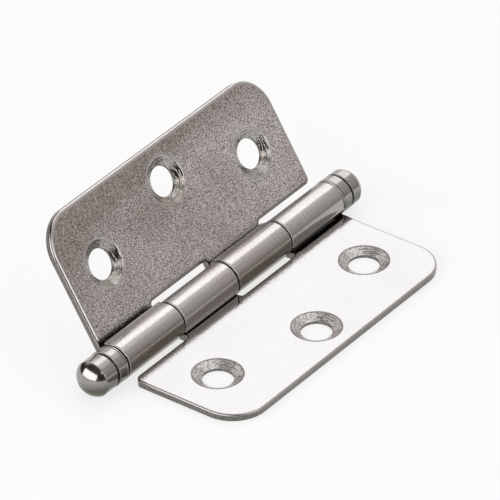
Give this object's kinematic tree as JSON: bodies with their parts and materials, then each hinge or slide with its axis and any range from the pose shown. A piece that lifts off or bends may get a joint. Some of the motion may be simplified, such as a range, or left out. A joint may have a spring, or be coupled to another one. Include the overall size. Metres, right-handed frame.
{
  "type": "butt hinge",
  "caption": "Decorative butt hinge with rounded countersunk leaves, rolled knuckles on a pin and a turned, domed finial at each end of the barrel.",
  "frame": {"origin": "on the back face of the front leaf, midway between its two end screw holes", "axes": "+X along the barrel towards the far finial, +Z out of the countersunk face of the front leaf, -Y from the barrel towards the outer edge of the front leaf"},
  "size_m": [0.0641, 0.0362, 0.0206],
  "materials": {
    "leaf": "satin nickel plate",
    "pin": "drawn rod",
    "finial": "polished nickel plate"
  },
  "bodies": {
    "fixed_side": {"front_leaf": "leaf", "hinge_pin": "pin", "near_finial": "finial", "far_finial": "finial"},
    "swinging_side": {"rear_leaf": "leaf"}
  },
  "joints": [
    {"name": "leaf_pivot", "type": "hinge", "parent": "fixed_side", "child": "swinging_side", "pos_m": [0, 0.0121, 0.00282], "axis": [-1, 0, 0], "range_deg": [-122, 148]}
  ]
}
